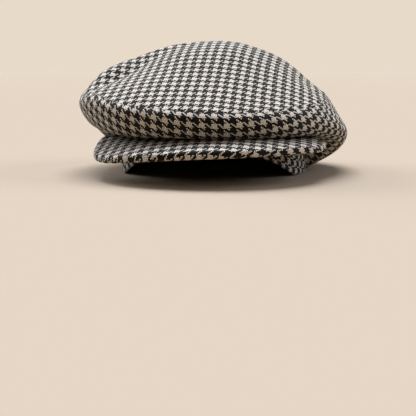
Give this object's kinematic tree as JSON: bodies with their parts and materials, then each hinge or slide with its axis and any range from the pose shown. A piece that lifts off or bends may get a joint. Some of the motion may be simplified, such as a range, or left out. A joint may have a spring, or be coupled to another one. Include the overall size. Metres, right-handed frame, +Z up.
{
  "type": "flat cap",
  "caption": "Soft tweed flat cap with a full crown of top and side panels, an open head hollow and a stiff covered peak.",
  "frame": {"origin": "on the ground, under the middle of the cap from side to side and from front to back", "axes": "-Y towards the peak, +X towards the wearer's left, +Z up"},
  "size_m": [0.24, 0.2782, 0.1165],
  "materials": {
    "crown_top": "houndstooth tweed",
    "crown_side": "houndstooth tweed",
    "peak": "houndstooth tweed over a stiff board"
  },
  "bodies": {
    "root": {"crown_top": "crown_top", "crown_side": "crown_side", "peak": "peak"}
  },
  "joints": []
}
